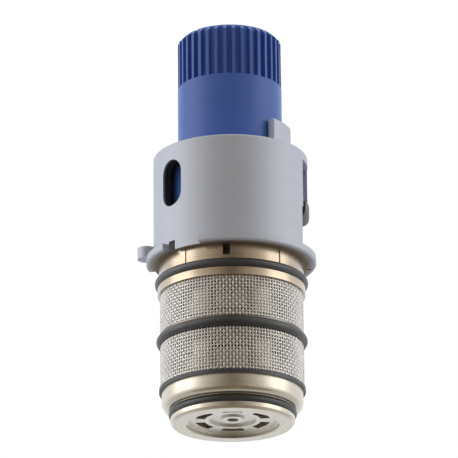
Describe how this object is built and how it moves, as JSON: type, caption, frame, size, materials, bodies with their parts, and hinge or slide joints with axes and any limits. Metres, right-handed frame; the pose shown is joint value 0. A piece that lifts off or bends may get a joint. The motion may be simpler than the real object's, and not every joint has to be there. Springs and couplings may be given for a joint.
{
  "type": "temperature mixing cartridge for a tap",
  "caption": "Slim mixing cartridge with a splined turning spindle, windowed grey shell, ribbed strainer sleeves, ring seals and an outlet in its lower end.",
  "frame": {"origin": "centre of the flat outlet face at the lower end, on the spindle axis", "axes": "+Z along the spindle towards the splined head; -Y is the side with the narrow window at the left and the flange step; +X is the side of the larger window and the stop tab"},
  "size_m": [0.0376, 0.0358, 0.0855],
  "materials": {
    "shell_metal": "satin grey plated metal",
    "body_brass": "turned brass, dull plated",
    "mesh_steel": "woven stainless wire",
    "spring_steel": "drawn spring wire and stampings",
    "element_copper": "drawn copper alloy",
    "blue_plastic": "moulded blue plastic, satin",
    "dark_plastic": "moulded dark grey plastic",
    "seal_rubber": "moulded black rubber"
  },
  "bodies": {
    "housing": {"housing_shell": "shell_metal", "guide_sleeve": "dark_plastic", "slip_ring": "dark_plastic", "inlet_body": "body_brass", "middle_body": "body_brass", "outlet_cap": "body_brass", "upper_strainer": "mesh_steel", "lower_strainer": "mesh_steel", "body_seal": "seal_rubber", "middle_seal": "seal_rubber", "outlet_seal": "seal_rubber", "lower_washer": "seal_rubber", "stem_seal": "seal_rubber", "seal_retainer": "body_brass", "return_spring": "spring_steel", "outlet_guide": "body_brass", "outlet_clip": "spring_steel"},
    "spindle": {"temperature_spindle": "blue_plastic", "handle_insert": "body_brass"},
    "lift_nut": {"lift_nut": "body_brass", "overload_spring": "spring_steel", "plunger_clip": "spring_steel"},
    "plunger": {"overload_plunger": "body_brass", "push_pin": "spring_steel"},
    "element": {"wax_element": "element_copper", "mixing_slide": "body_brass", "slide_seal": "seal_rubber"}
  },
  "joints": [
    {"name": "spindle_turn", "type": "hinge", "parent": "housing", "child": "spindle", "pos_m": [0, 0, 0], "axis": [0, 0, 1], "range_deg": [-165, 165]},
    {"name": "nut_travel", "type": "slide", "parent": "housing", "child": "lift_nut", "axis": [0, 0, 1], "range_m": [-0.00125, 0.00125]},
    {"name": "overload_travel", "type": "slide", "parent": "lift_nut", "child": "plunger", "axis": [0, 0, 1], "range_m": [0, 0.0012], "stiffness_N_per_m": 12000, "springref_m": -0.0015, "deforming": ["overload_spring"]},
    {"name": "mixing_stroke", "type": "slide", "parent": "housing", "child": "element", "axis": [0, 0, 1], "range_m": [-0.0004, 0.0004], "stiffness_N_per_m": 4000, "deforming": ["return_spring"]}
  ],
  "couplings": [
    {"joint": "spindle_turn", "follows": "nut_travel", "rad_per_m": -2094.4}
  ]
}
